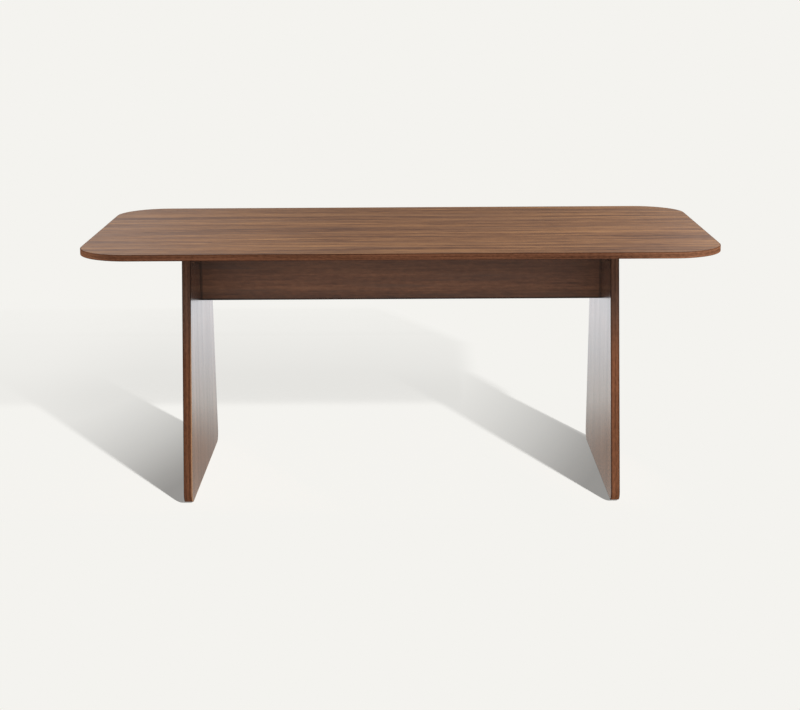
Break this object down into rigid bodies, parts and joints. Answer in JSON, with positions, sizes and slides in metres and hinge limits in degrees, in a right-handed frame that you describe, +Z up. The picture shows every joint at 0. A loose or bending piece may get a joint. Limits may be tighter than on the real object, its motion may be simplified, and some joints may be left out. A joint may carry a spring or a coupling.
{
  "type": "dining table",
  "caption": "Rounded rectangular dining table top on two slab legs that widen to the floor, tied by a centre rail under the top.",
  "frame": {"origin": "on the floor below the middle of the top", "axes": "+X along the top's length, +Y away from the viewer's side, +Z up; the rail's plain face looks to -Y"},
  "size_m": [1.8, 0.9, 0.75],
  "materials": {
    "walnut_face": "satin walnut veneer, streaky straight grain",
    "walnut_edge": "satin walnut edge band, redder than the faces",
    "bracket_steel": "bright zinc-plated sheet steel",
    "screw_steel": "zinc-plated steel",
    "cam_zinc": "dull die-cast zinc",
    "cam_bolt_steel": "zinc-plated steel",
    "beech_dowel": "pale fluted beech",
    "felt_pad": "dark brown pressed felt"
  },
  "bodies": {
    "root": {"top_board": "walnut_face", "left_leg_board": "walnut_face", "right_leg_board": "walnut_face", "rail_board": "walnut_face", "top_edge_band": "walnut_edge", "left_leg_edge_band": "walnut_edge", "right_leg_edge_band": "walnut_edge", "rail_edge_band": "walnut_edge", "left_front_bracket": "bracket_steel", "left_rear_bracket": "bracket_steel", "right_front_bracket": "bracket_steel", "right_rear_bracket": "bracket_steel", "top_screws": "screw_steel", "leg_screws": "screw_steel", "cam_housings": "cam_zinc", "cam_bolts": "cam_bolt_steel", "rail_dowels": "beech_dowel", "left_front_pad": "felt_pad", "left_rear_pad": "felt_pad", "right_front_pad": "felt_pad", "right_rear_pad": "felt_pad"}
  },
  "joints": []
}
